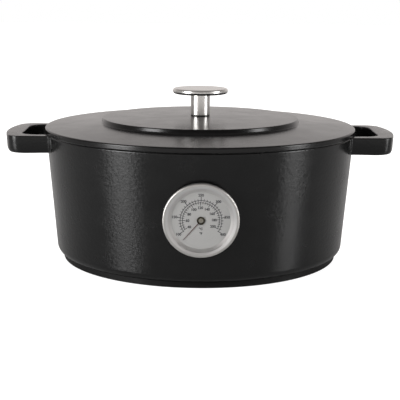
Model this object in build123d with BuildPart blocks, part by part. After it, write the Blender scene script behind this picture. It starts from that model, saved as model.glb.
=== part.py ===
# Round cast-iron dutch oven with a dial thermometer on its wall. All sizes in millimetres.
# Origin: centre of the base, on the surface that the pot stands on. +Z is up, the dial faces -Y and
# the two loop handles lie along X.
import math
import os

from build123d import *

# Pot casting
rim_radius = 143.0  # outside of the wall at its top edge
rim_height = 116.8  # top of the rim above the ground
wall_draft = 4.74  # degrees the wall leans outwards on its way up
wall_thickness = 4.2
floor_thickness = 5.5
floor_corner_radius = 24.0  # inside, from the floor into the wall
base_height = 3.8  # the underside's ground clearance outside the foot, where the wall's lower edge turns in
base_step = 4.1  # the low foot stands this far inside the wall
base_edge_chamfer = 0.4
shoulder_radius = 8.0  # lower edge of the wall, cut short by the foot
rim_outer_edge_radius = 1.4
rim_inner_edge_radius = 0.8

# Loop handles, cast in one with the pot
handle_depth = 37.0  # how far the loop stands out beyond the rim
handle_width = 92.7
handle_height = 16.0
handle_bow = 7.5  # how far the loop's end curves out past its square corners
handle_corner_radius = 22.0
handle_end_width = 18.0  # bar at the loop's end
handle_arm_width = 14.35
handle_window_corner_radius = 9.0
handle_edge_radius = 1.2
handle_root_radius = 3.5  # where an arm runs into the wall

# Lid casting
lid_overhang = 1.0  # beyond the rim, all round
lid_edge_height = 4.9
lid_rise = 3.7  # from the edge up to the foot of the raised middle
lid_thickness = 4.0  # of the sloping ring, and of the raised middle at its edge
lid_edge_top_radius = 1.4
lid_edge_bottom_chamfer = 0.8
plateau_radius = 91.0
plateau_step = 4.0
plateau_step_draft = 1.3  # how much wider the step is at its foot
plateau_step_wall = 4.0
plateau_crown = 1.6
plateau_edge_radius = 1.1
plateau_foot_radius = 1.6
lip_clearance = 1.0  # between the locating lip and the inside of the rim
lip_width = 4.0
lip_depth = 3.6
lip_taper = 0.4
lip_chamfer = 0.9
nub_boss_gap = 22.5  # from the boss to the first ring of drip nubs
nub_step_gap = 25.0  # from the second ring to the step
nub_counts = (6, 12, 18)  # nubs in each ring, the last is between the step and the lip
nub_radius = 3.0
nub_tip_radius = 1.5
nub_height = 3.2

# Knob and what holds it
knob_radius = 25.7
knob_disc_thickness = 5.0
knob_edge_radius = 1.0
stem_radius = 9.0
stem_height = 19.7
stem_root_radius = 1.0  # under the disc
gasket_thickness = 0.8
gasket_inset = 0.25  # the gasket is a little smaller than the stem
seat_margin = 1.0  # flat on the lid round the gasket
screw_radius = 3.0
screw_thread_clearance = 0.05
screw_hole_clearance = 0.4
screw_engagement = 13.0  # thread length inside the stem
screw_bore_spare = 1.5
screw_head_radius = 5.8
screw_head_height = 3.4
screw_head_edge_radius = 1.5
screw_slot_width = 1.6
screw_slot_depth = 1.4
washer_radius = 6.4
washer_thickness = 1.2
boss_radius = 9.5  # pad under the lid that the washer bears on
boss_height = 2.0

# Thermometer case. Heights called w run outwards along the dial's axis from the wall's surface
dial_height = 62.1  # where that axis leaves the wall, above the ground
pad_radius = 15.0  # pad cast on the wall, hidden behind the case
pad_height = 0.6
pad_root = 2.4  # how far the pad's cylinder reaches into the wall
case_radius = 29.6
case_sheet = 0.8
case_edge_radius = 0.6
chamber_depth = 2.4  # room for the coil behind the dial plate
ledge_width = 1.2  # the case steps in under the dial plate
dial_plate_thickness = 0.5
plate_clearance = 0.15  # round the plates that lie in the case
spacer_thickness = 1.0
spacer_width = 3.2
spacer_slope = 1.4  # the ring is narrower at the lens
lens_thickness = 0.8
seal_thickness = 0.15
seal_width = 1.0
case_top_gap = 0.1  # the lens stands this proud of the case, so the bezel clamps it
bezel_lip = 0.25  # sheet left at the bezel's inner edge
bezel_wall = 1.95
bezel_cover = 1.45  # how far the lip reaches in over the seal
bezel_slope_width = 2.2  # from the opening out to the flat front
bezel_slope_depth = 0.7
bezel_side_height = 3.6
bezel_round = 1.2
bezel_clearance = 0.1
stud_radius = 3.0
stud_thread_clearance = 0.05
stud_depth = 3.0  # into the pad and the wall
stud_bore_spare = 0.4

# Thermometer movement
spindle_radius = 1.0
spindle_head_radius = 1.9
spindle_seat_radius = 2.5
spindle_seat_gap = 0.1  # over the dial plate
running_clearance = 0.04
press_clearance = 0.01
bush_wall = 0.55
bush_length = 1.1
bush_flange_width = 1.0
bush_flange_thickness = 0.25
cup_wall = 0.56
cup_height = 0.6
cup_floor = 0.2
coil_thickness = 0.25
coil_width = 1.3
coil_gap = 0.25  # round the collet
coil_pitch = 2.4
coil_half_turns = 9
coil_floor_gap = 0.45
collet_wall = 0.84
collet_length = 1.0
collet_gap = 0.1  # over the cup
anchor_length = 3.0
anchor_width = 1.6
anchor_gap = 0.05
pointer_tip_gap = 3.15  # from the pointer's tip to the spacer ring
pointer_root_width = 0.8
pointer_tip_width = 0.35
pointer_thickness = 0.2
pointer_gap = 0.28  # over the dial plate
pointer_angle = 228.9  # counter-clockwise from the right, seen from the front
hub_radius = 3.5
hub_thickness = 0.2


def wall_radius(height):
    # Outside of the leaning wall at a height above the ground.
    return rim_radius - (rim_height - height) * math.tan(math.radians(wall_draft))


def round_corner(sketch, point, radius):
    # Rounds the sketch's corner that lies nearest to a point.
    fillet(sketch.vertices().sort_by_distance(point)[0], radius)


def cut_corner(sketch, point, length):
    # Cuts the sketch's corner that lies nearest to a point.
    chamfer(sketch.vertices().sort_by_distance(point)[0], length)


def save(part, name):
    part.label = name
    export_step(part, f"parts/{name}.step")
    print(name, "volume", round(part.volume, 2))


os.makedirs("parts", exist_ok=True)

# Dial frame: x to the right, z out of the wall, square to the leaning wall
draft = math.radians(wall_draft)
dial_origin = Vector(0, -wall_radius(dial_height), dial_height)
dial_normal = Vector(0, -math.cos(draft), -math.sin(draft))
dial = Plane(origin=dial_origin, x_dir=(1, 0, 0), z_dir=dial_normal)
dial_axis = Axis(dial_origin, dial_normal)
# Half section of the thermometer: x is the radius, y is w
dial_section = Plane(origin=dial_origin, x_dir=(1, 0, 0), z_dir=(0, math.sin(draft), -math.cos(draft)))

# Values of w through the thermometer, from the wall to the front
case_back = pad_height
chamber_floor = case_back + case_sheet
dial_back = chamber_floor + chamber_depth
dial_face = dial_back + dial_plate_thickness
lens_back = dial_face + spacer_thickness
lens_front = lens_back + lens_thickness
case_top = lens_front - case_top_gap
lip_back = lens_front + seal_thickness
bezel_opening_front = lip_back + bezel_lip
bezel_front = bezel_opening_front + bezel_slope_depth
seat_radius = case_radius - case_sheet
plate_radius = seat_radius - plate_clearance
bezel_radius = case_radius + bezel_clearance + bezel_wall
bezel_opening_radius = plate_radius - bezel_cover
bezel_slope_radius = bezel_opening_radius + bezel_slope_width

# Pot: a turned casting with two loops and the thermometer's pad
inner_rim_radius = rim_radius - wall_thickness
inner_floor_radius = wall_radius(floor_thickness) - wall_thickness
shoulder_wall_radius = wall_radius(base_height)
base_radius = shoulder_wall_radius - base_step
handle_reach = rim_radius + handle_depth
handle_bottom = rim_height - handle_height
window_reach = handle_reach - handle_end_width
window_width = handle_width - 2 * handle_arm_width
loop_root_radius = wall_radius(handle_bottom) - handle_edge_radius  # the loops start inside the wall
loop_start_radius = (loop_root_radius + wall_radius(handle_bottom)) / 2

with BuildPart() as loops:
    with BuildSketch(Plane.XY.offset(handle_bottom)) as loop_outline:
        with BuildLine():
            corner = (handle_reach - handle_bow, handle_width / 2)
            Line((0, corner[1]), corner)
            ThreePointArc(corner, (handle_reach, 0), (corner[0], -corner[1]))
            Line((corner[0], -corner[1]), (0, -corner[1]))
            Line((0, -corner[1]), (0, corner[1]))
        make_face()
        round_corner(loop_outline, corner, handle_corner_radius)
        round_corner(loop_outline, (corner[0], -corner[1]), handle_corner_radius)
        mirror(about=Plane.YZ)
        RectangleRounded(2 * window_reach, window_width, handle_window_corner_radius, mode=Mode.SUBTRACT)
        Circle(loop_root_radius)
        roots = [
            vertex
            for vertex in loop_outline.vertices()
            if abs(math.hypot(vertex.X, vertex.Y) - loop_root_radius) < 0.01
        ]
        fillet(roots, handle_root_radius)
    extrude(amount=handle_height)
    levels = loops.edges().group_by(Axis.Z)
    fillet(levels[0] + levels[-1], handle_edge_radius)
    with BuildSketch(Plane.XY.offset(handle_bottom)):
        Circle(loop_start_radius)
    extrude(amount=handle_height, mode=Mode.SUBTRACT)

with BuildPart() as pot:
    with BuildSketch(Plane.XZ) as wall_section:
        with BuildLine():
            Polyline(
                (0, base_height),
                (shoulder_wall_radius, base_height),
                (rim_radius, rim_height),
                (inner_rim_radius, rim_height),
                (inner_floor_radius, floor_thickness),
                (0, floor_thickness),
                close=True,
            )
        make_face()
        round_corner(wall_section, (shoulder_wall_radius, base_height), shoulder_radius)
        round_corner(wall_section, (rim_radius, rim_height), rim_outer_edge_radius)
        round_corner(wall_section, (inner_rim_radius, rim_height), rim_inner_edge_radius)
        round_corner(wall_section, (inner_floor_radius, floor_thickness), floor_corner_radius)
        with BuildLine():
            Polyline(
                (0, 0),
                (base_radius, 0),
                (base_radius, base_height + shoulder_radius),
                (base_radius - shoulder_radius, base_height),
                (0, base_height),
                close=True,
            )
        make_face()
        cut_corner(wall_section, (base_radius, 0), base_edge_chamfer)
    revolve(axis=Axis.Z)
    add(loops.part)
    with BuildSketch(dial.offset(pad_height)):
        Circle(pad_radius)
    extrude(amount=-(pad_height + pad_root))
    with BuildSketch(dial.offset(pad_height)):
        Circle(stud_radius + stud_thread_clearance)
    extrude(amount=-(stud_depth + stud_bore_spare), mode=Mode.SUBTRACT)

# Lid: a turned casting with a raised middle, a locating lip and drip nubs
lid_radius = rim_radius + lid_overhang
lid_edge_top = rim_height + lid_edge_height
foot_height = lid_edge_top + lid_rise
foot_radius = plateau_radius + plateau_step_draft
step_height = foot_height + plateau_step
crown_radius = (plateau_radius**2 + plateau_crown**2) / (2 * plateau_crown)
seat_flat_radius = stem_radius + seat_margin
lip_outer_radius = inner_rim_radius - lip_clearance
lip_inner_radius = lip_outer_radius - lip_width
under_plateau_radius = plateau_radius - plateau_step_wall
under_foot_radius = under_plateau_radius + plateau_step_draft
nub_ring_radii = (
    boss_radius + nub_boss_gap,
    under_plateau_radius - nub_step_gap,
    (foot_radius + lip_inner_radius) / 2,
)


def crown_height(radius):
    # Top of the raised middle, a shallow dome.
    return step_height + plateau_crown - crown_radius + math.sqrt(crown_radius**2 - radius**2)


def ring_height(radius):
    # Top of the lid outside the raised middle, a shallow cone.
    return foot_height - lid_rise * (radius - foot_radius) / (lid_radius - foot_radius)


def ring_underside(radius):
    return ring_height(radius) - lid_thickness


seat_height = crown_height(seat_flat_radius)
middle_underside = crown_height(under_plateau_radius) - lid_thickness
boss_bottom = middle_underside - boss_height

with BuildPart() as lid:
    with BuildSketch(Plane.XZ) as lid_section:
        with BuildLine():
            top_middle = (plateau_radius / 2, crown_height(plateau_radius / 2))
            Line((0, seat_height), (seat_flat_radius, seat_height))
            ThreePointArc((seat_flat_radius, seat_height), top_middle, (plateau_radius, step_height))
            Polyline(
                (plateau_radius, step_height),
                (foot_radius, foot_height),
                (lid_radius, lid_edge_top),
                (lid_radius, rim_height),
                (lip_outer_radius, rim_height),
                (lip_outer_radius - lip_taper, rim_height - lip_depth),
                (lip_inner_radius, rim_height - lip_depth),
                (lip_inner_radius - lip_taper, ring_underside(lip_inner_radius - lip_taper)),
                (under_foot_radius, ring_underside(under_foot_radius)),
                (under_plateau_radius, middle_underside),
                (0, middle_underside),
                (0, seat_height),
            )
        make_face()
        round_corner(lid_section, (plateau_radius, step_height), plateau_edge_radius)
        round_corner(lid_section, (foot_radius, foot_height), plateau_foot_radius)
        round_corner(lid_section, (lid_radius, lid_edge_top), lid_edge_top_radius)
        cut_corner(lid_section, (lid_radius, rim_height), lid_edge_bottom_chamfer)
        cut_corner(lid_section, (lip_outer_radius - lip_taper, rim_height - lip_depth), lip_chamfer)
        cut_corner(lid_section, (lip_inner_radius, rim_height - lip_depth), lip_chamfer)
    revolve(axis=Axis.Z)
    with BuildSketch(Plane.XY.offset(boss_bottom)):
        Circle(boss_radius)
    extrude(amount=boss_height + lid_thickness / 2)
    # A nub on the sloping ring starts level with the highest point under it
    nub_undersides = (middle_underside, middle_underside, ring_underside(nub_ring_radii[-1] - nub_radius))
    for ring_radius, nub_count, nub_underside in zip(nub_ring_radii, nub_counts, nub_undersides):
        with Locations((0, 0, nub_underside - nub_height)):
            with PolarLocations(ring_radius, nub_count):
                Cone(
                    nub_tip_radius,
                    nub_radius,
                    nub_height,
                    align=(Align.CENTER, Align.CENTER, Align.MIN),
                )
    with BuildSketch(Plane.XY.offset(boss_bottom)):
        Circle(screw_radius + screw_hole_clearance)
    extrude(amount=seat_height - boss_bottom, mode=Mode.SUBTRACT)

# Knob: turned in one with its stem, held by a screw from below
stem_bottom = seat_height + gasket_thickness
knob_bottom = stem_bottom + stem_height
knob_top = knob_bottom + knob_disc_thickness
washer_bottom = boss_bottom - washer_thickness
screw_bottom = washer_bottom - screw_head_height

with BuildPart() as knob:
    with BuildSketch(Plane.XZ) as knob_section:
        with BuildLine():
            Polyline(
                (0, stem_bottom),
                (stem_radius, stem_bottom),
                (stem_radius, knob_bottom),
                (knob_radius, knob_bottom),
                (knob_radius, knob_top),
                (0, knob_top),
                close=True,
            )
        make_face()
        round_corner(knob_section, (stem_radius, knob_bottom), stem_root_radius)
        round_corner(knob_section, (knob_radius, knob_bottom), knob_edge_radius)
        round_corner(knob_section, (knob_radius, knob_top), knob_edge_radius)
    revolve(axis=Axis.Z)
    with BuildSketch(Plane.XY.offset(stem_bottom)):
        Circle(screw_radius + screw_thread_clearance)
    extrude(amount=screw_engagement + screw_bore_spare, mode=Mode.SUBTRACT)

with BuildPart() as knob_gasket:
    with BuildSketch(Plane.XY.offset(seat_height)):
        Circle(stem_radius - gasket_inset)
        Circle(screw_radius + screw_hole_clearance, mode=Mode.SUBTRACT)
    extrude(amount=gasket_thickness)

with BuildPart() as knob_washer:
    with BuildSketch(Plane.XY.offset(washer_bottom)):
        Circle(washer_radius)
        Circle(screw_radius + screw_hole_clearance, mode=Mode.SUBTRACT)
    extrude(amount=washer_thickness)

with BuildPart() as knob_screw:
    with BuildSketch(Plane.XY.offset(screw_bottom)):
        Circle(screw_head_radius)
    extrude(amount=screw_head_height)
    fillet(knob_screw.edges().sort_by(Axis.Z)[0], screw_head_edge_radius)
    with BuildSketch(Plane.XY.offset(screw_bottom)):
        Rectangle(2 * screw_head_radius, screw_slot_width)
    extrude(amount=screw_slot_depth, mode=Mode.SUBTRACT)
    with BuildSketch(Plane.XY.offset(washer_bottom)):
        Circle(screw_radius)
    extrude(amount=stem_bottom + screw_engagement - washer_bottom)

# Radii of the movement, from the spindle outwards
bush_radius = spindle_radius + running_clearance + bush_wall
cup_radius = spindle_radius + running_clearance + cup_wall
collet_radius = spindle_radius + press_clearance + collet_wall
coil_inner_radius = collet_radius + coil_gap
pointer_reach = plate_radius - spacer_width - pointer_tip_gap

# Thermometer case, screwed on to the pad by its stud
with BuildPart() as thermometer_case:
    with BuildSketch(dial_section) as case_section:
        with BuildLine():
            Polyline(
                (0, case_back),
                (case_radius, case_back),
                (case_radius, case_top),
                (seat_radius, case_top),
                (seat_radius, dial_back),
                (seat_radius - ledge_width, dial_back),
                (seat_radius - ledge_width, chamber_floor),
                (0, chamber_floor),
                close=True,
            )
        make_face()
        round_corner(case_section, (case_radius, case_back), case_edge_radius)
    revolve(axis=dial_axis)

with BuildPart() as thermometer_stud:
    with BuildSketch(dial.offset(case_back)):
        Circle(stud_radius)
    extrude(amount=-stud_depth)

with BuildPart() as dial_plate:
    with BuildSketch(dial.offset(dial_back)):
        Circle(plate_radius)
        Circle(bush_radius + press_clearance, mode=Mode.SUBTRACT)
    extrude(amount=dial_plate_thickness)

with BuildPart() as spacer_ring:
    with BuildSketch(dial_section):
        with BuildLine():
            Polyline(
                (plate_radius - spacer_width, dial_face),
                (plate_radius, dial_face),
                (plate_radius, lens_back),
                (plate_radius - spacer_width + spacer_slope, lens_back),
                close=True,
            )
        make_face()
    revolve(axis=dial_axis)

with BuildPart() as thermometer_lens:
    with BuildSketch(dial.offset(lens_back)):
        Circle(plate_radius)
    extrude(amount=lens_thickness)

with BuildPart() as lens_seal:
    with BuildSketch(dial.offset(lens_front)):
        Circle(plate_radius)
        Circle(plate_radius - seal_width, mode=Mode.SUBTRACT)
    extrude(amount=seal_thickness)

with BuildPart() as thermometer_bezel:
    with BuildSketch(dial_section) as bezel_section:
        with BuildLine():
            Polyline(
                (case_radius + bezel_clearance, bezel_front - bezel_side_height),
                (bezel_radius, bezel_front - bezel_side_height),
                (bezel_radius, bezel_front),
                (bezel_slope_radius, bezel_front),
                (bezel_opening_radius, bezel_opening_front),
                (bezel_opening_radius, lip_back),
                (case_radius + bezel_clearance, lip_back),
                close=True,
            )
        make_face()
        round_corner(bezel_section, (bezel_radius, bezel_front), bezel_round)
    revolve(axis=dial_axis)

# Movement: a flat bimetal coil turns the spindle, which runs in a bush and a cup
cup_rest = chamber_floor + cup_floor
coil_bottom = chamber_floor + coil_floor_gap
collet_bottom = chamber_floor + cup_height + collet_gap
pointer_back = dial_face + pointer_gap
hub_back = pointer_back + pointer_thickness

with BuildPart() as spindle_bush:
    with BuildSketch(dial.offset(dial_face - bush_length)):
        Circle(bush_radius)
    extrude(amount=bush_length)
    with BuildSketch(dial.offset(dial_back - bush_flange_thickness)):
        Circle(bush_radius + bush_flange_width)
    extrude(amount=bush_flange_thickness)
    with BuildSketch(dial.offset(dial_face - bush_length)):
        Circle(spindle_radius + running_clearance)
    extrude(amount=bush_length, mode=Mode.SUBTRACT)

with BuildPart() as spindle_cup:
    with BuildSketch(dial.offset(chamber_floor)):
        Circle(cup_radius)
    extrude(amount=cup_height)
    with BuildSketch(dial.offset(cup_rest)):
        Circle(spindle_radius + running_clearance)
    extrude(amount=cup_height - cup_floor, mode=Mode.SUBTRACT)

with BuildPart() as spindle:
    with BuildSketch(dial.offset(cup_rest + running_clearance)):
        Circle(spindle_radius)
    extrude(amount=pointer_back - cup_rest - running_clearance)
    with BuildSketch(dial.offset(dial_face + spindle_seat_gap)):
        Circle(spindle_seat_radius)
    extrude(amount=pointer_gap - spindle_seat_gap)
    with BuildSketch(dial.offset(pointer_back)):
        Circle(spindle_head_radius)
    extrude(amount=pointer_thickness + hub_thickness)

with BuildPart() as coil_collet:
    with BuildSketch(dial.offset(collet_bottom)):
        Circle(collet_radius)
        Circle(spindle_radius + press_clearance, mode=Mode.SUBTRACT)
    extrude(amount=collet_length)

# The coil is a strip of half circles, each wider than the last by half the pitch
half_step = coil_pitch / 2
with BuildPart() as bimetal_coil:
    with BuildSketch(dial.offset(coil_bottom)):
        with BuildLine():
            for half_turn in range(coil_half_turns):
                middle = coil_inner_radius + coil_thickness / 2 + half_turn * half_step
                centre = (half_step * (half_turn % 2), 0)
                for strip_side in (-coil_thickness / 2, coil_thickness / 2):
                    CenterArc(centre, middle + strip_side, 180 * (half_turn % 2), 180)
            strip_end = middle * (1 - 2 * (coil_half_turns % 2)) + centre[0]
            Line((coil_inner_radius, 0), (coil_inner_radius + coil_thickness, 0))
            Line((strip_end - coil_thickness / 2, 0), (strip_end + coil_thickness / 2, 0))
        make_face()
    extrude(amount=coil_width)

with BuildPart() as coil_anchor:
    anchor_x = abs(strip_end) + coil_thickness / 2 + anchor_gap + anchor_width / 2
    with BuildSketch(dial.offset(chamber_floor)):
        with Locations((math.copysign(anchor_x, strip_end), 0)):
            Rectangle(anchor_width, anchor_length)
    extrude(amount=coil_floor_gap + coil_width)

pointer_plane = Plane(dial.location * Rotation(0, 0, pointer_angle)).offset(pointer_back)
with BuildPart() as pointer:
    with BuildSketch(pointer_plane):
        with BuildLine():
            Polyline(
                (spindle_head_radius, -pointer_root_width / 2),
                (pointer_reach, -pointer_tip_width / 2),
                (pointer_reach, pointer_tip_width / 2),
                (spindle_head_radius, pointer_root_width / 2),
                close=True,
            )
        make_face()
        Circle(spindle_seat_radius)
        Circle(spindle_head_radius + press_clearance, mode=Mode.SUBTRACT)
    extrude(amount=pointer_thickness)

with BuildPart() as pointer_hub:
    with BuildSketch(dial.offset(hub_back)):
        Circle(hub_radius)
        Circle(spindle_head_radius + press_clearance, mode=Mode.SUBTRACT)
    extrude(amount=hub_thickness)

save(pot.part, "pot")
save(thermometer_case.part, "thermometer_case")
save(thermometer_stud.part, "thermometer_stud")
save(dial_plate.part, "dial_plate")
save(spacer_ring.part, "spacer_ring")
save(thermometer_lens.part, "thermometer_lens")
save(lens_seal.part, "lens_seal")
save(thermometer_bezel.part, "thermometer_bezel")
save(spindle_bush.part, "spindle_bush")
save(spindle_cup.part, "spindle_cup")
save(bimetal_coil.part, "bimetal_coil")
save(coil_anchor.part, "coil_anchor")
save(spindle.part, "spindle")
save(coil_collet.part, "coil_collet")
save(pointer.part, "pointer")
save(pointer_hub.part, "pointer_hub")
save(lid.part, "lid")
save(knob.part, "knob")
save(knob_gasket.part, "knob_gasket")
save(knob_washer.part, "knob_washer")
save(knob_screw.part, "knob_screw")
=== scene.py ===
import math

import bpy
import numpy as np
from mathutils import Matrix


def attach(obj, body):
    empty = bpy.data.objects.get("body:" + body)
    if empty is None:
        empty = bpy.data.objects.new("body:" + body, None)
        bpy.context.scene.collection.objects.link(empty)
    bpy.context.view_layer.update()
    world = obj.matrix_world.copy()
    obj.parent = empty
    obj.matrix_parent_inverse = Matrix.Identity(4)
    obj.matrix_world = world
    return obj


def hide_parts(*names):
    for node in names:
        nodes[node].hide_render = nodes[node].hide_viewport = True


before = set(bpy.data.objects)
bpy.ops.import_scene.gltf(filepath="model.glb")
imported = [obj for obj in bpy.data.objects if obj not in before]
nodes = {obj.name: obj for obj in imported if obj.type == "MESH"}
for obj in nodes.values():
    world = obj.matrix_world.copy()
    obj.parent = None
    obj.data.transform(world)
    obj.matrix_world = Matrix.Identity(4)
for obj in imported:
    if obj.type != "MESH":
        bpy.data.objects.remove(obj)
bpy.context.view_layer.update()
mm = 0.001
print("frame loaded,", len(nodes), "nodes")


# small tools for colours, nodes and meshes

def linearColour(hexCode):
    # sRGB to linear: a straight line near black, the 2.4 power curve above it
    share = np.array([int(hexCode[i:i + 2], 16) for i in (1, 3, 5)]) / 255.0
    linear = np.where(share <= 0.04045, share / 12.92, ((share + 0.055) / 1.055) ** 2.4)
    return (*linear.tolist(), 1.0)


def addNode(tree, kind, settings=None, links=None):
    # one node: settings are node properties or socket values, links are incoming sockets
    node = tree.nodes.new(kind)
    for key, value in (settings or {}).items():
        if isinstance(key, int) or key in node.inputs:
            node.inputs[key].default_value = value
        else:
            setattr(node, key, value)
    for key, source in (links or {}).items():
        tree.links.new(source, node.inputs[key])
    return node


def newMaterial(name):
    material = bpy.data.materials.new(name)
    material.use_nodes = True
    material.node_tree.nodes.clear()
    return material, material.node_tree


def arcCorner(before, corner, after, radius, steps):
    # tangent arc in a corner: points turn evenly from one leg's normal to the other's
    a, b = before - corner, after - corner
    a, b = a / np.hypot(*a), b / np.hypot(*b)
    half = 0.5 * math.acos(float(np.clip(a @ b, -1, 1)))
    centre = corner + (a + b) / np.hypot(*(a + b)) * radius / math.sin(half)
    start = corner + a * radius / math.tan(half) - centre
    side = -np.sign(a[0] * b[1] - a[1] * b[0])
    angles = np.linspace(0, math.pi - 2 * half, steps) * side
    return centre + np.stack([start[0] * np.cos(angles) - start[1] * np.sin(angles),
                              start[0] * np.sin(angles) + start[1] * np.cos(angles)], 1)


def profileLine(corners, steps, closed):
    # corners are (radius, height, rounding, material) in mm; a rounding of 0 stays sharp as a doubled point, and
    # an array of points in its place is a ready-made arc.
    # Returns points, their outward normals (the tangent turned a quarter clockwise) and each span's material
    spots = [np.array(corner[:2], float) for corner in corners]
    n = len(spots)
    line, slots = [], []
    for i, (spot, corner) in enumerate(zip(spots, corners)):
        if isinstance(corner[2], np.ndarray):
            arc = corner[2]
        elif corner[2] > 0 and (closed or 0 < i < n - 1):
            arc = arcCorner(spots[i - 1], spot, spots[(i + 1) % n], corner[2], steps)
        else:
            arc = spot[None]
        line.append(arc)
        slots.append(corner[3] if len(corner) > 3 else 0)
    points, tangents, material = [], [], []
    for i, arc in enumerate(line):
        last = i == n - 1 and not closed
        before = arc[0] - (line[i - 1][-1] if (i or closed) else arc[0])
        after = before if last else line[(i + 1) % n][0] - arc[-1]
        before = after if np.hypot(*before) == 0 else before
        if len(arc) == 1:  # sharp: one point for each leg
            points += [arc[0], arc[0]]
            tangents += [before, after]
            material += [-1, slots[i]]
        else:
            along = np.gradient(arc, axis=0)
            along[0], along[-1] = before, after
            points += list(arc)
            tangents += list(along)
            material += [slots[i]] * len(arc)
    points, tangents = np.array(points), np.array(tangents)
    tangents /= np.maximum(np.hypot(tangents[:, 0], tangents[:, 1]), 1e-12)[:, None]
    return points, np.stack([tangents[:, 1], -tangents[:, 0]], 1), np.array(material)


def buildMesh(name, vertices, faces, materials, normals=None, indices=None):
    mesh = bpy.data.meshes.new(name)
    mesh.from_pydata(np.asarray(vertices).tolist(), [], faces if isinstance(faces, list) else faces.tolist())
    for material in materials:
        mesh.materials.append(material)
    if indices is not None:
        mesh.polygons.foreach_set("material_index", np.asarray(indices, np.int32))
    mesh.polygons.foreach_set("use_smooth", np.ones(len(mesh.polygons), bool))
    mesh.update()
    if normals is not None:
        mesh.normals_split_custom_set_from_vertices(np.asarray(normals).tolist())
    piece = bpy.data.objects.new(name, mesh)
    bpy.context.scene.collection.objects.link(piece)
    return piece


def gridQuads(rows, columns, flipped=False):
    # quads between neighbouring rows of a grid whose rows close on themselves, turned over where flipped
    i, j = np.meshgrid(np.arange(rows - 1), np.arange(columns), indexing="ij")
    k = (j + 1) % columns
    quads = np.stack([i * columns + j, i * columns + k, (i + 1) * columns + k, (i + 1) * columns + j], -1)
    return quads[..., [0, 3, 2, 1]] if flipped else quads


def turned(name, corners, materials, axisFrame=None, sides=160, steps=7, closed=True):
    # surface of revolution: point = origin + r cos(a) X + r sin(a) Y + h Z, for every profile point and angle
    points, normals, slots = profileLine(corners, steps, closed)
    if closed:
        points, normals, slots = (np.concatenate([a, a[:1]]) for a in (points, normals, slots))
    origin, x, y, z = axisFrame or (np.zeros(3), *np.eye(3))
    angle = (np.arange(sides) + 0.5) * 2 * math.pi / sides
    ring = np.cos(angle)[:, None] * x + np.sin(angle)[:, None] * y
    place = origin + (points[:, 0, None, None] * ring + points[:, 1, None, None] * z) * mm
    turn = normals[:, 0, None, None] * ring + normals[:, 1, None, None] * z
    keep = np.hypot(*np.diff(points, axis=0).T) > 1e-7  # a doubled point makes no face
    quads, index = gridQuads(len(points), sides)[keep], np.repeat(slots[:-1][keep], sides)
    return buildMesh(name, place.reshape(-1, 3), quads.reshape(-1, 4), materials, turn.reshape(-1, 3),
                     np.maximum(index, 0))


def finish(piece, body, slot, *replaced):
    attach(piece, body)
    if replaced:
        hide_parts(*replaced)
    return piece


def dress(node, material):
    # a CAD node that is right as it is gets its material
    mesh = nodes[node].data
    mesh.materials.clear()
    mesh.materials.append(material)


# sizes shared by several pieces, in mm. Most are the CAD's; the foot's and the ring's follow the photograph closer

pot = {"rimRadius": 143.0, "rimHeight": 116.8, "draft": 4.74, "wall": 4.2, "floor": 5.5, "floorCorner": 24.0,
       "footHeight": 5.0, "footStep": 5.3, "footEdge": 0.5, "shoulder": 8.0, "rimOuter": 1.4, "rimInner": 0.8}
lean = math.tan(math.radians(pot["draft"]))


def wallRadius(height):
    # outside of the leaning wall at a height
    return pot["rimRadius"] - (pot["rimHeight"] - height) * lean


# the thermometer: its middle's height, then radii, and depths in front of the wall
dial = {"height": 62.1, "face": 4.3, "lensBack": 5.3, "radius": 28.65,
        "ringInner": 24.4, "ringLens": 27.0, "ringGap": 0.03,
        "opening": 27.2, "slope": 29.4, "bore": 29.7, "bezel": 31.65,
        "bezelSide": 3.6, "bezelFront": 7.2, "bezelLip": 6.25, "lipThickness": 0.25}
tilt = math.radians(pot["draft"])
dialFrame = (np.array([0.0, -wallRadius(dial["height"]), dial["height"]]) * mm, np.array([1.0, 0.0, 0.0]),
             np.array([0.0, -math.sin(tilt), math.cos(tilt)]), np.array([0.0, -math.cos(tilt), -math.sin(tilt)]))
dialCentre = tuple(dialFrame[0].tolist())


# materials, each pattern's size in mm

def objectCoordinates(tree, centre=(0, 0, 0)):
    source = addNode(tree, "ShaderNodeTexCoord")
    return addNode(tree, "ShaderNodeMapping", {"Location": tuple(-c for c in centre)},
                   {"Vector": source.outputs["Object"]}).outputs[0]


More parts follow.
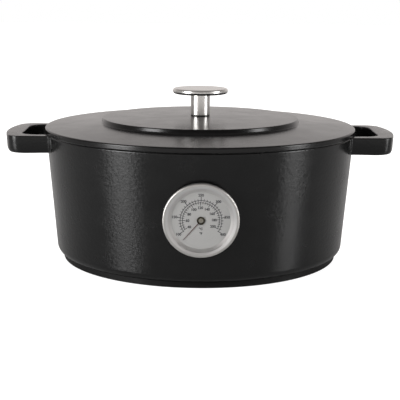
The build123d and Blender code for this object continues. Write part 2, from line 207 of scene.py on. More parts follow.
def enamelled(name, look):
    # black vitreous enamel fired on sand-cast iron: a hard gloss over low rounded hills that the sand leaves, so
    # highlights break up into small even pebbles
    material, tree = newMaterial(name)
    place = objectCoordinates(tree)
    peel = addNode(tree, "ShaderNodeTexVoronoi", {
        "feature": "SMOOTH_F1", "Scale": 1 / (look["peelMm"] * mm), "Smoothness": 1.0}, {"Vector": place})
    grain = addNode(tree, "ShaderNodeTexNoise", {
        "Scale": 1 / (look["grainMm"] * mm), "Detail": 3.0}, {"Vector": place})
    cloud = addNode(tree, "ShaderNodeTexNoise", {
        "Scale": 1 / (look["cloudMm"] * mm), "Detail": 3.0}, {"Vector": place})
    colour = addNode(tree, "ShaderNodeMix", {"data_type": "RGBA"}, {"Factor": cloud.outputs[0]})
    colour.inputs[6].default_value = linearColour(look["dark"])
    colour.inputs[7].default_value = linearColour(look["light"])
    rough = addNode(tree, "ShaderNodeMapRange", {
        "From Min": 0.3, "From Max": 0.7, "To Min": look["rough"][0], "To Max": look["rough"][1]},
        {"Value": cloud.outputs[0]})
    fine = addNode(tree, "ShaderNodeBump", {
        "Strength": look["grainStrength"], "Distance": 0.03 * mm}, {"Height": grain.outputs[0]})
    bump = addNode(tree, "ShaderNodeBump", {
        "Strength": look["peelStrength"], "Distance": 0.35 * mm},
        {"Height": peel.outputs[0], "Normal": fine.outputs[0]})
    shader = addNode(tree, "ShaderNodeBsdfPrincipled", {"IOR": 1.5, "Specular IOR Level": look["shine"]}, {
        "Base Color": colour.outputs[2], "Roughness": rough.outputs[0], "Normal": bump.outputs[0]})
    addNode(tree, "ShaderNodeOutputMaterial", links={"Surface": shader.outputs[0]})
    return material


def metal(name, look, centre=(0, 0, 0), axis=2):
    # turned or spun metal: fine rings round its axis, seen as a slight spread of each highlight
    material, tree = newMaterial(name)
    place = objectCoordinates(tree, centre)
    parts = addNode(tree, "ShaderNodeSeparateXYZ", links={0: place})
    flat = [parts.outputs[i] for i in range(3) if i != axis]
    across = addNode(tree, "ShaderNodeCombineXYZ", links={0: flat[0], 1: flat[1]})
    reach = addNode(tree, "ShaderNodeVectorMath", {"operation": "LENGTH"}, {0: across.outputs[0]})
    key = addNode(tree, "ShaderNodeCombineXYZ", links={0: reach.outputs["Value"], 1: parts.outputs[axis]})
    lines = addNode(tree, "ShaderNodeTexNoise", {
        "Scale": 1 / (look["ringMm"] * mm), "Detail": 2.0}, {"Vector": key.outputs[0]})
    cloud = addNode(tree, "ShaderNodeTexNoise", {
        "Scale": 1 / (look["cloudMm"] * mm), "Detail": 2.0}, {"Vector": place})
    rough = addNode(tree, "ShaderNodeMapRange", {
        "From Min": 0.3, "From Max": 0.7, "To Min": look["rough"][0], "To Max": look["rough"][1]},
        {"Value": cloud.outputs[0]})
    colour = addNode(tree, "ShaderNodeMix", {"data_type": "RGBA"}, {"Factor": lines.outputs[0]})
    colour.inputs[6].default_value = linearColour(look["dark"])
    colour.inputs[7].default_value = linearColour(look["light"])
    bump = addNode(tree, "ShaderNodeBump", {
        "Strength": look["ringStrength"], "Distance": 0.02 * mm}, {"Height": lines.outputs[0]})
    shader = addNode(tree, "ShaderNodeBsdfPrincipled", {"Metallic": look.get("metallic", 1.0)}, {
        "Base Color": colour.outputs[2], "Roughness": rough.outputs[0], "Normal": bump.outputs[0]})
    addNode(tree, "ShaderNodeOutputMaterial", links={"Surface": shader.outputs[0]})
    return material


def plain(name, look):
    # paint, rubber or ink: a colour with a fine grain in its colour, gloss and surface
    material, tree = newMaterial(name)
    place = objectCoordinates(tree)
    grain = addNode(tree, "ShaderNodeTexNoise", {
        "Scale": 1 / (look["grainMm"] * mm), "Detail": 3.0}, {"Vector": place})
    colour = addNode(tree, "ShaderNodeMix", {"data_type": "RGBA"}, {"Factor": grain.outputs[0]})
    colour.inputs[6].default_value = linearColour(look["dark"])
    colour.inputs[7].default_value = linearColour(look["light"])
    rough = addNode(tree, "ShaderNodeMapRange", {
        "To Min": look["rough"][0], "To Max": look["rough"][1]}, {"Value": grain.outputs[0]})
    bump = addNode(tree, "ShaderNodeBump", {
        "Strength": look["strength"], "Distance": 0.03 * mm}, {"Height": grain.outputs[0]})
    shader = addNode(tree, "ShaderNodeBsdfPrincipled", {"IOR": 1.5}, {
        "Base Color": colour.outputs[2], "Roughness": rough.outputs[0], "Normal": bump.outputs[0]})
    addNode(tree, "ShaderNodeOutputMaterial", links={"Surface": shader.outputs[0]})
    return material


def windowGlass(name):
    # flat polished float glass: nearly clear, with a faint mirror at its front. Only the camera's rays bend in it;
    # the lamps' light goes straight through to the dial and back
    material, tree = newMaterial(name)
    glass = addNode(tree, "ShaderNodeBsdfPrincipled", {
        "Base Color": linearColour("#fdfdfd"), "Roughness": 0.0, "IOR": 1.5, "Transmission Weight": 1.0})
    clear = addNode(tree, "ShaderNodeBsdfTransparent", {"Color": linearColour("#f5f5f5")})
    ray = addNode(tree, "ShaderNodeLightPath")
    either = addNode(tree, "ShaderNodeMath", {"operation": "MAXIMUM"},
                     {0: ray.outputs["Is Shadow Ray"], 1: ray.outputs["Is Diffuse Ray"]})
    through = addNode(tree, "ShaderNodeMath", {"operation": "MAXIMUM"},
                      {0: either.outputs[0], 1: ray.outputs["Is Glossy Ray"]})
    mixed = addNode(tree, "ShaderNodeMixShader", links={
        0: through.outputs[0], 1: glass.outputs[0], 2: clear.outputs[0]})
    addNode(tree, "ShaderNodeOutputMaterial", links={"Surface": mixed.outputs[0]})
    return material


# the wall keeps the sand's hills, so each lamp shows in it as a tall pebbled strip
wallEnamel = enamelled("fired enamel on cast iron, wall", {
    "peelMm": 2.4, "grainMm": 0.6, "cloudMm": 18, "dark": "#0a0a0a", "light": "#0f0f0f",
    "rough": (0.22, 0.28), "peelStrength": 0.3, "grainStrength": 0.3, "shine": 0.25})
# painted shade at the foot: a darker copy of the wall enamel, rougher and with less shine, so the foot shows as an
# even dark band with no highlight
footShadedEnamel = enamelled("matt enamel with painted shade, foot", {
    "peelMm": 3.6, "grainMm": 0.6, "cloudMm": 18, "dark": "#080808", "light": "#0c0c0c",
    "rough": (0.5, 0.6), "peelStrength": 0.3, "grainStrength": 0.6, "shine": 0.15})
# the lid is turned flat before it is fired, so it mirrors the room and the stem as a soft grey sheen
lidEnamel = enamelled("fired enamel on cast iron, lid", {
    "peelMm": 3.0, "grainMm": 0.5, "cloudMm": 22, "dark": "#080808", "light": "#0c0b0b",
    "rough": (0.21, 0.25), "peelStrength": 0.012, "grainStrength": 0.06, "shine": 0.24})
# a fine lathe finish: bright, with every reflection a little soft
knobSteel = metal("turned stainless steel, knob", {
    "ringMm": 0.6, "cloudMm": 9, "dark": "#c4c2bf", "light": "#d0cecb", "rough": (0.26, 0.31), "ringStrength": 0.06})
# satin front, an even grey with no mirror image
bezelSteel = metal("satin stainless steel, bezel", {
    "ringMm": 0.4, "cloudMm": 6, "dark": "#b1afac", "light": "#bfbdba", "rough": (0.42, 0.48), "ringStrength": 0.2},
    dialCentre, 1)
# the slope down to the glass is brighter and catches the lamps as arcs
slopeSteel = metal("polished stainless steel, bezel slope", {
    "ringMm": 0.6, "cloudMm": 6, "dark": "#bebdbc", "light": "#cccbca", "rough": (0.36, 0.42), "ringStrength": 0.1},
    dialCentre, 1)
# deep-drawn cup behind the bezel, a dull sheen with drawing lines
caseSteel = metal("pressed stainless steel, case", {
    "ringMm": 0.5, "cloudMm": 6, "dark": "#a9a7a4", "light": "#bab8b5", "rough": (0.3, 0.42), "ringStrength": 0.25},
    dialCentre, 1)
# satin plating, lighter where it faces up
ringChrome = metal("satin-chromed brass, ring under the glass", {
    "ringMm": 0.6, "cloudMm": 6, "dark": "#c0bebc", "light": "#cccac8", "rough": (0.3, 0.36), "ringStrength": 0.03,
    "metallic": 0.82}, dialCentre, 1)
# lacquer hides most of the metal, which leaves a pale even silver
dialSilver = metal("brushed aluminium under clear lacquer, dial", {
    "ringMm": 0.35, "cloudMm": 5, "dark": "#afaeac", "light": "#bebdbb", "rough": (0.42, 0.5), "ringStrength": 0.2,
    "metallic": 0.35}, dialCentre, 1)
# small turned parts: yellow metal with tool rings
movementBrass = metal("machined brass, movement", {
    "ringMm": 0.3, "cloudMm": 4, "dark": "#a8873f", "light": "#c2a45a", "rough": (0.25, 0.35), "ringStrength": 0.2},
    dialCentre, 1)
# old brass gone brown
hubBrass = metal("dulled brass, hub", {
    "ringMm": 0.3, "cloudMm": 3, "dark": "#2c281d", "light": "#393425", "rough": (0.38, 0.46), "ringStrength": 0.2},
    dialCentre, 1)
# a light ground end in the dark hub
spindleSteel = metal("ground steel, spindle", {
    "ringMm": 0.2, "cloudMm": 3, "dark": "#918d81", "light": "#a29c8f", "rough": (0.4, 0.5), "ringStrength": 0.2},
    dialCentre, 1)
# cold-rolled strip, grey with a warm tint
coilSteel = metal("rolled bimetal strip, coil", {
    "ringMm": 0.3, "cloudMm": 3, "dark": "#8b8780", "light": "#a49f96", "rough": (0.3, 0.4), "ringStrength": 0.2},
    dialCentre, 1)
# bright zinc, a bluish grey
fastenerZinc = metal("zinc-plated steel, screw and washer", {
    "ringMm": 0.4, "cloudMm": 4, "dark": "#9c9da0", "light": "#b4b5b8", "rough": (0.28, 0.4), "ringStrength": 0.2})
# thin even coats, ink and paint both nearly flat
needlePaint = plain("baked paint, pointer", {
    "grainMm": 0.3, "dark": "#40201c", "light": "#502b26", "rough": (0.35, 0.5), "strength": 0.1})
printInk = plain("screen-printed ink, dial", {
    "grainMm": 0.3, "dark": "#2c2c2f", "light": "#363639", "rough": (0.5, 0.65), "strength": 0.1})
# moulded rubber, no highlight and a fine grain
gasketRubber = plain("moulded black rubber, gasket", {
    "grainMm": 0.4, "dark": "#121212", "light": "#1b1b1b", "rough": (0.55, 0.7), "strength": 0.3})
sealRubber = plain("moulded grey rubber, lens seal", {
    "grainMm": 0.4, "dark": "#2a2a2a", "light": "#363636", "rough": (0.6, 0.75), "strength": 0.3})
lensGlass = windowGlass("float glass, lens")
print("materials made")


# pot casting: the shell, then a loop on each side

wallFoot = wallRadius(pot["footHeight"])
footRadius = wallFoot - pot["footStep"]
# the wall's lower edge is a quarter round, cut where the foot starts: many points, cut, then 16 of them kept
turnIn = arcCorner(np.array([0.0, pot["footHeight"]]), np.array([wallFoot, pot["footHeight"]]),
                   np.array([pot["rimRadius"], pot["rimHeight"]]), pot["shoulder"], 200)
turnIn = turnIn[turnIn[:, 0] > footRadius]
turnIn = turnIn[np.linspace(0, len(turnIn) - 1, 16).astype(int)]
innerRim = pot["rimRadius"] - pot["wall"]
innerFloor = wallRadius(pot["floor"]) - pot["wall"]
# the foot and its underside take the foot enamel, darkened as painted shade
potShell = turned("potShell", [
    (0, 0, 0, 1), (footRadius, 0, pot["footEdge"], 1), (footRadius, turnIn[0, 1], 0), (*turnIn[8], turnIn[1:]),
    (pot["rimRadius"], pot["rimHeight"], pot["rimOuter"]),
    (innerRim, pot["rimHeight"], pot["rimInner"]), (innerFloor, pot["floor"], pot["floorCorner"]),
    (0, pot["floor"], 0)], [wallEnamel, footShadedEnamel], sides=256, steps=12, closed=False)
finish(potShell, "pot", "pot_enamel", "pot")

# reach is from the pot's axis, root is the rounding against the wall, embed is how far the arms start inside it
loop = {"reach": 180.0, "halfWidth": 46.35, "height": 16.0, "bow": 9.0, "corner": 12.0, "windowReach": 163.4,
        "windowHalf": 35.5, "windowCorner": 15.0, "edge": 1.2, "lowEdge": 4.0, "taper": 1.0, "root": 2.6,
        "embed": 2.8, "armsBeyond": 20.0, "cornerPoints": 40, "runPoints": 60, "edgePoints": 7, "sharpAngle": 35}


def loopOutlines():
    # outer and inner outlines of one loop in plan, point for point: each is two straight arms, two corner arcs
    # and an end, and both are read at the same share of the same stretch
    reach, half, bow, bend, run = (loop[k] for k in ("reach", "halfWidth", "bow", "cornerPoints", "runPoints"))
    endRadius = (half ** 2 + bow ** 2) / (2 * bow)  # the end is an arc through (reach, 0) and its square corners
    midWall = pot["rimRadius"] - loop["embed"]
    # a rounded corner between an arm and the end arc
    centre = np.array([0.0, half - loop["corner"]])
    centre[0] = reach - endRadius + math.sqrt((endRadius - loop["corner"]) ** 2 - centre[1] ** 2)
    touch = math.atan2(centre[1], centre[0] - (reach - endRadius))
    turn = np.linspace(touch, math.pi / 2, bend)
    corner = centre + loop["corner"] * np.stack([np.cos(turn), np.sin(turn)], 1)
    endAngle = np.linspace(-touch, touch, run)
    endArc = np.array([reach - endRadius, 0.0]) + endRadius * np.stack([np.cos(endAngle), np.sin(endAngle)], 1)
    arm = np.stack([np.linspace(math.sqrt(midWall ** 2 - half ** 2), centre[0], run), np.full(run, half)], 1)
    mirror = np.array([1.0, -1.0])
    outer = np.concatenate([arm * mirror, (corner * mirror)[::-1][1:], endArc[1:-1], corner[:-1], arm[::-1]])
    # the window's outline, with the same number of points in each stretch
    w, q, c = loop["windowHalf"], loop["windowReach"], loop["windowCorner"]
    turn = np.linspace(0, math.pi / 2, bend)
    inCorner = np.array([q - c, w - c]) + c * np.stack([np.cos(turn), np.sin(turn)], 1)
    inArm = np.stack([np.linspace(math.sqrt(midWall ** 2 - w ** 2), q - c, run), np.full(run, w)], 1)
    inEnd = np.stack([np.full(run, q), np.linspace(-(w - c), w - c, run)], 1)
    inner = np.concatenate([inArm * mirror, (inCorner * mirror)[::-1][1:], inEnd[1:-1], inCorner[:-1], inArm[::-1]])
    return outer, inner


def castLoop(name, side):
    # a bar along the outlines: each section is a rectangle from the inner to the outer outline, with a quarter
    # round of its own at each corner and an outer face that leans in by the taper. Near the wall the bar widens by
    # radius - sqrt(radius squared - (radius - distance) squared), a quarter round
    outer, inner = loopOutlines()
    high, steps, root = loop["height"] / 2, loop["edgePoints"], loop["root"]
    across = outer - inner
    width = np.hypot(across[:, 0], across[:, 1])
    across /= width[:, None]
    turn = np.linspace(0, math.pi / 2, steps)
    quarter = np.stack([np.cos(turn), np.sin(turn)], 1)
    corners = ((1, 1, 1, loop["edge"]), (-1, 1, -1, loop["edge"]), (-1, -1, 1, loop["edge"]),
               (1, -1, -1, loop["lowEdge"]))
    push = np.concatenate([np.stack([sx * quarter[:, 0], sz * quarter[:, 1]], 1)[::order]
                           for sx, sz, order, _ in corners])  # the rounding's own direction
    sign = np.concatenate([np.full((steps, 2), (sx, sz)) for sx, sz, _, _ in corners])
    rounding = np.concatenate([np.full(steps, radius) for _, _, _, radius in corners])
    middle = (outer + inner) / 2
    z = (sign[:, 1] * (high - rounding) + rounding * push[:, 1])[None] + np.zeros((len(middle), 1))
    leaning = loop["taper"] * (high - z) / (2 * high) * (sign[None, :, 0] > 0)
    out = sign[None, :, 0] * (width[:, None] / 2 - rounding) + (rounding * push[:, 0])[None] - leaning
    x = middle[:, None, 0] + across[:, None, 0] * out
    y = middle[:, None, 1] + across[:, None, 1] * out
    level = pot["rimHeight"] - high + z
    gap = x - np.sqrt(np.maximum(wallRadius(level) ** 2 - y ** 2, 1))  # in front of the wall
    flare = root - np.sqrt(root ** 2 - (root - np.clip(gap, 0, root)) ** 2)
    onArm = np.abs(middle[:, None, 1]) > loop["armsBeyond"]
    y = y + flare * np.sign(middle[:, None, 1]) * sign[None, :, 0] * onArm * np.abs(push[None, :, 0])
    points = np.stack([x * side, y * side, level], -1) * mm
    rows, columns = points.shape[:2]
    quads = gridQuads(rows, columns, flipped=True).reshape(-1, 4).tolist()
    caps = [list(range(columns)), [(rows - 1) * columns + c for c in range(columns)][::-1]]
    piece = buildMesh(name, points.reshape(-1, 3), quads + caps, [wallEnamel])
    piece.data.set_sharp_from_angle(angle=math.radians(loop["sharpAngle"]))
    return finish(piece, "pot", "pot_enamel", "pot")


for loopName, loopSide in (("loopRight", 1), ("loopLeft", -1)):
    castLoop(loopName, loopSide)
print("pot casting made")


# lid casting: heights are above the floor, crown is how far the raised middle domes, and lipLean narrows the lip
# downwards on each side

lid = {"radius": 144.0, "underEdge": 0.8, "edgeTop": 121.7, "foot": 125.4, "footRadius": 92.3, "plateau": 91.0,
       "step": 129.4, "crown": 1.6, "crownAt": (60, 30), "crownBlend": 900, "seat": 10.0, "bossRadius": 9.5,
       "bossHeight": 2.0, "hole": 3.4, "thin": 4.0, "stepWall": 4.0, "lipOuter": 137.8, "lipWidth": 4.0,
       "lipDepth": 3.6, "lipLean": 0.4}
crownRadius = (lid["plateau"] ** 2 + lid["crown"] ** 2) / (2 * lid["crown"])


def crownHeight(radius):
    # the raised middle's shallow dome
    return float(lid["step"] + lid["crown"] - crownRadius + math.sqrt(crownRadius ** 2 - radius ** 2))


def ringUnder(radius):
    # underside of the sloping ring, parallel to its top
    slope = (lid["foot"] - lid["edgeTop"]) / (lid["radius"] - lid["footRadius"])
    return lid["foot"] - slope * (radius - lid["footRadius"]) - lid["thin"]


seatHeight = crownHeight(lid["seat"])
middleUnder = crownHeight(lid["plateau"] - lid["stepWall"]) - lid["thin"]
lipInner = lid["lipOuter"] - lid["lipWidth"]
lipBottom = pot["rimHeight"] - lid["lipDepth"]
underFoot = lid["footRadius"] - lid["stepWall"]
lidShell = turned("lidShell", [
    (lid["hole"], middleUnder - lid["bossHeight"], 0.3), (lid["bossRadius"], middleUnder - lid["bossHeight"], 0.5),
    (lid["bossRadius"], middleUnder, 1.0), (lid["plateau"] - lid["stepWall"], middleUnder, 1.6),
    (underFoot, ringUnder(underFoot), 1.6), (lipInner - lid["lipLean"], ringUnder(lipInner - lid["lipLean"]), 1.6),
    (lipInner, lipBottom, 0.9), (lid["lipOuter"] - lid["lipLean"], lipBottom, 0.9),
    (lid["lipOuter"], pot["rimHeight"], 0.3), (lid["radius"] - lid["underEdge"], pot["rimHeight"], 0),
    (lid["radius"], pot["rimHeight"] + lid["underEdge"], 0.15),
    (lid["radius"], lid["edgeTop"], 1.4), (lid["footRadius"], lid["foot"], 1.6), (lid["plateau"], lid["step"], 1.1),
    *[(r, crownHeight(r), lid["crownBlend"]) for r in lid["crownAt"]],
    (lid["seat"], seatHeight, 2), (lid["hole"], seatHeight, 0.2)], [lidEnamel], sides=256, steps=9)
finish(lidShell, "lid", "lid_enamel", "lid")

# rings are (radius, count) under the raised middle, outerCount is under the sloping ring, sink is into the casting
nubs = {"radius": 3.0, "height": 3.2, "coneShare": 0.7, "tipShare": 0.45, "sides": 14, "rows": 7, "sink": 0.2,
        "rings": ((32.0, 6), (62.0, 12)), "outerCount": 18}


def dripNubs(name):
    # low cones with a round top: the radius falls evenly over the cone's share of the height, then as a quarter
    # circle to nothing, and one nub is copied round three rings
    sides, rows, cone, tip = (nubs[k] for k in ("sides", "rows", "coneShare", "tipShare"))
    turn = np.linspace(0, 2 * math.pi, sides, endpoint=False)
    rise = np.linspace(0, 1, rows)
    share = np.clip((rise - cone) / (1 - cone), 0, 1)
    radius = nubs["radius"] * np.where(rise < cone, 1 - (1 - tip) * rise / cone, tip * np.sqrt(1 - share ** 2))
    nub = np.stack([radius[:, None] * np.cos(turn), radius[:, None] * np.sin(turn),
                    np.repeat((-nubs["height"] * rise)[:, None], sides, 1)], -1).reshape(-1, 3)
    quads = gridQuads(rows, sides, flipped=True).reshape(-1, 4)
    outerRing = (lid["footRadius"] + lipInner) / 2
    rings = [(radius, count, middleUnder) for radius, count in nubs["rings"]]
    rings.append((outerRing, nubs["outerCount"], ringUnder(outerRing - nubs["radius"])))
    places = np.concatenate([np.stack([r * np.cos(a), r * np.sin(a), np.full(n, h + nubs["sink"])], 1)
                             for r, n, h in rings for a in [np.arange(n) * 2 * math.pi / n]])
    points = (places[:, None] + nub[None]).reshape(-1, 3) * mm
    faces = (np.arange(len(places))[:, None, None] * len(nub) + quads[None]).reshape(-1, 4)
    return buildMesh(name, points, faces, [lidEnamel])


finish(dripNubs("dripNubs"), "lid", "lid_enamel", "lid")
print("lid casting made")


# knob on its gasket, and its fastening

gasket = {"hole": 3.4, "radius": 8.75, "thickness": 0.8}
gasketTop = seatHeight + gasket["thickness"]
knob = {"stem": 9.0, "stemHeight": 19.7, "disc": 25.7, "thickness": 5.0, "edge": 2.0, "underEdge": 2.4,
        "bore": 3.05, "boreDepth": 14.5}
boreTop = gasketTop + knob["boreDepth"]
discBottom = gasketTop + knob["stemHeight"]
discTop = discBottom + knob["thickness"]
knobTurned = turned("knobTurned", [
    (0, boreTop, 0), (knob["bore"], boreTop, 0.3), (knob["bore"], gasketTop, 0.3), (knob["stem"], gasketTop, 0.35),
    (knob["stem"], discBottom, 0.8), (knob["disc"], discBottom, knob["underEdge"]),
    (knob["disc"], discTop, knob["edge"]), (0, discTop, 0)], [knobSteel], sides=128, steps=9, closed=False)
finish(knobTurned, "lid", "knob_steel", "knob")
gasketRing = turned("gasketRing", [
    (gasket["hole"], seatHeight, 0.2), (gasket["radius"], seatHeight, 0.3),
    (gasket["radius"], gasketTop, 0.3), (gasket["hole"], gasketTop, 0.2)], [gasketRubber], sides=96, steps=5)
finish(gasketRing, "lid", "gasket_rubber", "knob_gasket")
for node in ("knob_washer", "knob_screw"):
    dress(node, fastenerZinc)
print("knob made")


# thermometer: bezel and inner ring are new, the rest keeps its CAD shape

bezelBack, lipFront = dial["bezelFront"] - dial["bezelSide"], dial["bezelLip"] + dial["lipThickness"]
ringFront = dial["lensBack"] - dial["ringGap"]
bezelRing = turned("bezelRing", [
    (dial["bore"], bezelBack, 0), (dial["bezel"], bezelBack, 0.3), (dial["bezel"], dial["bezelFront"], 1.2),
    (dial["slope"], dial["bezelFront"], 0.25, 1), (dial["opening"], lipFront, 0.15, 1),
    (dial["opening"], dial["bezelLip"], 0), (dial["bore"], dial["bezelLip"], 0)],
    [bezelSteel, slopeSteel], dialFrame)
finish(bezelRing, "pot", "bezel_steel", "thermometer_bezel")
innerRing = turned("innerRing", [
    (dial["ringInner"], dial["face"], 0), (dial["radius"], dial["face"], 0), (dial["radius"], ringFront, 0),
    (dial["ringLens"], ringFront, 0.15)], [ringChrome], dialFrame, steps=5)
finish(innerRing, "pot", "ring_chrome", "spacer_ring")
for node, material in (
        ("thermometer_case", caseSteel), ("thermometer_stud", fastenerZinc), ("dial_plate", dialSilver),
        ("thermometer_lens", lensGlass), ("lens_seal", sealRubber), ("spindle_bush", movementBrass),
        ("spindle_cup", movementBrass), ("bimetal_coil", coilSteel), ("coil_anchor", movementBrass),
        ("pointer", needlePaint), ("pointer_hub", hubBrass), ("spindle", spindleSteel),
        ("coil_collet", movementBrass)):
    dress(node, material)
print("thermometer dressed")

# print on the dial, in mm: ticks are (near radius, far radius, width), and letters are made a little bold
scale = {"up": 250.0, "turn": 0.82, "lift": 0.03, "line": 0.5, "textHeight": 2.2, "unitHeight": 2.0,
         "emPerHeight": 1.38, "bold": 0.14}
fahrenheit = {"name": "fahrenheit", "first": 100, "last": 400, "major": 50, "minor": 10, "factor": 1.0,
              "offset": 0.0, "arc": 17.1, "long": (16.3, 20.2, 0.6), "short": (16.2, 18.4, 0.5), "text": 21.6,
              "unit": "°F", "unitAt": -11.0}
celsius = {"name": "celsius", "first": 40, "last": 200, "major": 20, "minor": 5, "factor": 1.8,
           "offset": 32.0, "arc": 15.2, "long": (12.9, 16.0, 0.55), "short": (13.9, 16.1, 0.46), "text": 11.0,
           "unit": "°C", "unitAt": -7.0}


def markAngle(marks, values):
    # a scale's own degrees to Fahrenheit, and from there one linear run: 250 F points straight up, clockwise as
    # it warms
    degreesF = np.asarray(values, float) * marks["factor"] + marks["offset"]
    return np.radians(90 - (degreesF - scale["up"]) * scale["turn"])


def onDial(x, y):
    # millimetres on the dial's face to metres in the frame
    origin, right, up, out = dialFrame
    lift = dial["face"] + scale["lift"]
    return origin + (np.asarray(x)[..., None] * right + np.asarray(y)[..., None] * up + lift * out) * mm


def inkTicks(angles, near, far, width):
    # one quad for each angle, from the near to the far radius, half its width to each side
    along = np.stack([np.cos(angles), np.sin(angles)], 1)
    aside = np.stack([-along[:, 1], along[:, 0]], 1) * width / 2
    quad = np.stack([along * near - aside, along * far - aside, along * far + aside, along * near + aside], 1)
    return quad.reshape(-1, 2), np.arange(len(quad) * 4).reshape(-1, 4)


def inkArc(radius, width, first, last, count=120):
    # a ring's sector: two circles half the width to each side of the radius
    angles = np.linspace(first, last, count)
    ring = np.stack([np.cos(angles), np.sin(angles)], 1)
    points = np.concatenate([ring * (radius - width / 2), ring * (radius + width / 2)])
    i = np.arange(count - 1)
    return points, np.stack([i, i + 1, i + 1 + count, i + count], 1)


def inkText(words, x, y, height):
    # a word's outline from the built-in font, centred on a place, as points and faces
    curve = bpy.data.curves.new("word", "FONT")
    curve.body, curve.size, curve.align_x, curve.align_y = words, height * scale["emPerHeight"], "CENTER", "CENTER"
    curve.resolution_u, curve.offset = 4, scale["bold"]
    text = bpy.data.objects.new("word", curve)
    bpy.context.scene.collection.objects.link(text)
    shape = bpy.data.meshes.new_from_object(text)
    points = np.zeros(len(shape.vertices) * 3)
    shape.vertices.foreach_get("co", points)
    points = points.reshape(-1, 3)[:, :2]
    points = points - (points.max(0) + points.min(0)) / 2 + np.array([x, y])
    faces = [list(p.vertices) for p in shape.polygons]
    bpy.data.objects.remove(text)
    bpy.data.meshes.remove(shape)
    bpy.data.curves.remove(curve)
    return points, faces


def inkMesh(name, shapes):
    # joins flat shapes and turns every face towards the glass, by the sign of its area
    points = np.concatenate([p for p, _ in shapes])
    offset, faces = 0, []
    for p, f in shapes:
        faces += (np.asarray(f) + offset).tolist()
        offset += len(p)
    area = [sum(points[f[k - 1]][0] * points[f[k]][1] - points[f[k]][0] * points[f[k - 1]][1]
                for k in range(len(f))) for f in faces]
    faces = [f if a > 0 else f[::-1] for f, a in zip(faces, area)]
    return finish(buildMesh(name, onDial(points[:, 0], points[:, 1]), faces, [printInk]), "pot", "dial_aluminium")


def printTicks(marks):
    major = np.arange(marks["first"], marks["last"] + 1, marks["major"])
    minor = np.setdiff1d(np.arange(marks["first"], marks["last"] + 1, marks["minor"]), major)
    ends = markAngle(marks, [marks["last"], marks["first"]])
    inkMesh(marks["name"] + "Ticks", [inkArc(marks["arc"], scale["line"], *ends),
                                      inkTicks(markAngle(marks, major), *marks["long"]),
                                      inkTicks(markAngle(marks, minor), *marks["short"])])


def printNumbers(marks):
    words = []
    for value in range(marks["first"], marks["last"] + 1, marks["major"]):
        angle, radius = float(markAngle(marks, value)), marks["text"]
        words.append(inkText(str(value), radius * math.cos(angle), radius * math.sin(angle), scale["textHeight"]))
    inkMesh(marks["name"] + "Numbers", words + [inkText(marks["unit"], 0, marks["unitAt"], scale["unitHeight"])])


for makePrint in (printTicks, printNumbers):
    for marks in (fahrenheit, celsius):
        makePrint(marks)
print("dial printed")


# stage, light and camera

white = (1, 1, 1, 1)
pale = {"colour": "#b4b4b4", "roughness": 0.18, "toWhite": 0.85, "glow": 0.5, "glowFrom": -0.6, "glowFull": -0.75,
        "halfSize": 6.0, "top": -0.0002}


def stageFloor():
    # pale floor: grey to the lamps, so that it keeps the shadow, and lit up to white for the camera. Its half
    # gloss passes the lamps on to the wall, and far in front it glows for the stem to mirror
    material, tree = newMaterial("pale floor")
    ray = addNode(tree, "ShaderNodeLightPath")
    base = addNode(tree, "ShaderNodeBsdfPrincipled", {
        "Base Color": linearColour(pale["colour"]), "Roughness": pale["roughness"]})
    seen = addNode(tree, "ShaderNodeMath", {"operation": "MAXIMUM"},
                   {0: ray.outputs["Is Camera Ray"], 1: ray.outputs["Is Transmission Ray"]})
    place = addNode(tree, "ShaderNodeTexCoord")
    parts = addNode(tree, "ShaderNodeSeparateXYZ", links={0: place.outputs["Object"]})
    far = addNode(tree, "ShaderNodeMapRange", {
        "From Min": pale["glowFrom"], "From Max": pale["glowFull"], "To Min": 0.0, "To Max": pale["glow"]},
        {"Value": parts.outputs["Y"]})
    mirrored = addNode(tree, "ShaderNodeMath", {"operation": "MULTIPLY"},
                       {0: far.outputs[0], 1: ray.outputs["Is Glossy Ray"]})
    level = addNode(tree, "ShaderNodeMath", {"operation": "MULTIPLY_ADD", 1: pale["toWhite"]},
                    {0: seen.outputs[0], 2: mirrored.outputs[0]})
    glow = addNode(tree, "ShaderNodeEmission", {"Color": white}, {"Strength": level.outputs[0]})
    both = addNode(tree, "ShaderNodeAddShader", links={0: base.outputs[0], 1: glow.outputs[0]})
    addNode(tree, "ShaderNodeOutputMaterial", links={"Surface": both.outputs[0]})
    size, top = pale["halfSize"], pale["top"]
    buildMesh("floor", [(-size, -size, top), (size, -size, top), (size, size, top), (-size, size, top)],
                       [[0, 1, 2, 3]], [material])


# how bright the room is in each direction; the directions are parts of a unit vector
room = {"behind": 0.9, "beside": 0.08, "ceiling": 0.3, "strip": 0.8, "tint": (1.0, 0.95, 0.93, 1), "soft": 0.6}


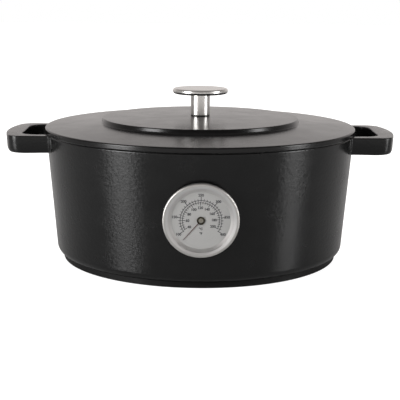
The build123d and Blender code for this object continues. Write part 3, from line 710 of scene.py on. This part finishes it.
def studioWorld():
    # white to the camera; to mirrors and soft light a pale room, brightest behind the object
    world = bpy.data.worlds.new("studio")
    bpy.context.scene.world = world
    world.use_nodes = True
    tree = world.node_tree
    tree.nodes.clear()
    ray = addNode(tree, "ShaderNodeLightPath")
    place = addNode(tree, "ShaderNodeTexCoord")
    parts = addNode(tree, "ShaderNodeSeparateXYZ", links={0: place.outputs["Generated"]})
    behind = addNode(tree, "ShaderNodeMapRange", {
        "From Min": -0.1, "From Max": 0.8, "To Min": room["beside"], "To Max": room["behind"]},
        {"Value": parts.outputs["Y"]})
    rise = addNode(tree, "ShaderNodeMapRange", {  # the wall behind fades upwards
        "From Min": 0.3, "From Max": 0.7, "To Min": 1.0, "To Max": 0.3}, {"Value": parts.outputs["Z"]})
    wall = addNode(tree, "ShaderNodeMath", {"operation": "MULTIPLY"}, {0: behind.outputs[0], 1: rise.outputs[0]})
    dome = addNode(tree, "ShaderNodeMapRange", {
        "From Min": 0.5, "From Max": 0.75, "To Min": 0.0, "To Max": room["ceiling"]}, {"Value": parts.outputs["Z"]})
    above = addNode(tree, "ShaderNodeMath", {"operation": "ADD"}, {0: wall.outputs[0], 1: dome.outputs[0]})
    # in front a low bright strip, dark above it
    front = addNode(tree, "ShaderNodeMapRange", {
        "From Min": 0.0, "From Max": -0.4, "To Min": 0.0, "To Max": room["strip"]}, {"Value": parts.outputs["Y"]})
    low = addNode(tree, "ShaderNodeMapRange", {
        "From Min": 0.16, "From Max": 0.28, "To Min": 1.0, "To Max": 0.0}, {"Value": parts.outputs["Z"]})
    strip = addNode(tree, "ShaderNodeMath", {"operation": "MULTIPLY"}, {0: front.outputs[0], 1: low.outputs[0]})
    level = addNode(tree, "ShaderNodeMath", {"operation": "ADD"}, {0: above.outputs[0], 1: strip.outputs[0]})
    mirror = addNode(tree, "ShaderNodeBackground", {"Color": room["tint"]}, {"Strength": level.outputs[0]})
    soft = addNode(tree, "ShaderNodeBackground", {"Color": white, "Strength": room["soft"]})
    bare = addNode(tree, "ShaderNodeBackground", {"Color": white, "Strength": 1.0})
    seen = addNode(tree, "ShaderNodeMath", {"operation": "MAXIMUM"},
                   {0: ray.outputs["Is Camera Ray"], 1: ray.outputs["Is Transmission Ray"]})
    indirect = addNode(tree, "ShaderNodeMixShader", links={
        0: ray.outputs["Is Glossy Ray"], 1: soft.outputs[0], 2: mirror.outputs[0]})
    final = addNode(tree, "ShaderNodeMixShader", links={
        0: seen.outputs[0], 1: indirect.outputs[0], 2: bare.outputs[0]})
    addNode(tree, "ShaderNodeOutputWorld", links={"Surface": final.outputs[0]})


# azimuth in degrees from the camera's side, towards +X; metres and watts; the top one doesn't show in mirrors
lamps = {"softbox left": {"azimuth": -57, "away": 1.5, "high": 0.42, "wide": 0.52, "tall": 0.84, "power": 25},
         "softbox right": {"azimuth": 70, "away": 1.5, "high": 0.42, "wide": 0.4, "tall": 0.84, "power": 14},
         "softbox top": {"azimuth": 0, "away": 0.5, "high": 1.6, "wide": 1.4, "tall": 1.4, "power": 10}}
aimHeight = 0.08


def softbox(name, look):
    # a flat lamp that faces the pot's middle
    lamp = bpy.data.lights.new(name, "AREA")
    lamp.shape, lamp.size, lamp.size_y, lamp.energy = "RECTANGLE", look["wide"], look["tall"], look["power"]
    turn = math.radians(look["azimuth"])
    place = np.array([math.sin(turn) * look["away"], -math.cos(turn) * look["away"], look["high"]])
    piece = bpy.data.objects.new(name, lamp)
    piece.location = place.tolist()
    aim = np.array([0, 0, aimHeight]) - place
    piece.rotation_euler = (math.acos(-aim[2] / np.linalg.norm(aim)), 0, math.atan2(-aim[0], aim[1]))
    piece.visible_glossy = name != "softbox top"
    bpy.context.scene.collection.objects.link(piece)


stageFloor()
studioWorld()
for lampName, lampLook in lamps.items():
    softbox(lampName, lampLook)

# fitted to the outlines in the photograph: metres, degrees, the roll in radians, the lens in mm
view = {"aside": 0.0004, "back": 0.9919, "high": 0.2500, "azimuth": -0.53, "down": 11.4, "roll": 0.0079,
        "lens": 95.72, "sensor": 36.0}
camera = bpy.data.cameras.new("camera")
camera.sensor_width, camera.lens = view["sensor"], view["lens"]
cameraPiece = bpy.data.objects.new("camera", camera)
# a roll about the camera's own axis, then the pitch about X, then the turn about the pot's axis
pose = (Matrix.Rotation(math.radians(view["azimuth"]), 4, "Z")
        @ Matrix.Translation((view["aside"], -view["back"], view["high"]))
        @ Matrix.Rotation(math.radians(90 - view["down"]), 4, "X") @ Matrix.Rotation(view["roll"], 4, "Z"))
cameraPiece.location, cameraPiece.rotation_euler = pose.to_translation(), pose.to_euler("XYZ")
bpy.context.scene.collection.objects.link(cameraPiece)
bpy.context.scene.camera = cameraPiece
bpy.context.scene.view_settings.view_transform = "Standard"
print("stage, light and camera set")
